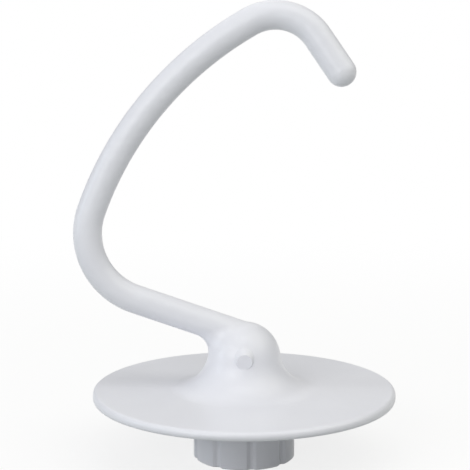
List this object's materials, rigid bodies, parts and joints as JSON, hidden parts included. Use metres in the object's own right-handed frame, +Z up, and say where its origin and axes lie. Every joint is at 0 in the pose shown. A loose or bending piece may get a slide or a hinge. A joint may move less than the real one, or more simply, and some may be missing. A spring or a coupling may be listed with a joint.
{
  "type": "stand mixer dough hook",
  "caption": "One-piece white coated C-shaped dough hook with a round shield disc, a domed boss and a grooved collar holding a bayonet socket for the mixer's drive shaft.",
  "frame": {"origin": "on the shaft axis at the collar's end face, on which the hook stands", "axes": "+Z up the shaft axis from the collar to the hook, the hook's bar in the XZ plane up to its crown, from where the nose leans towards -Y, +X towards the side where the hook's mouth opens"},
  "size_m": [0.1212, 0.1146, 0.1723],
  "materials": {
    "white_coating": "white semi-gloss baked nylon-type coating on cast aluminium"
  },
  "bodies": {
    "root": {"dough_hook": "white_coating"}
  },
  "joints": []
}
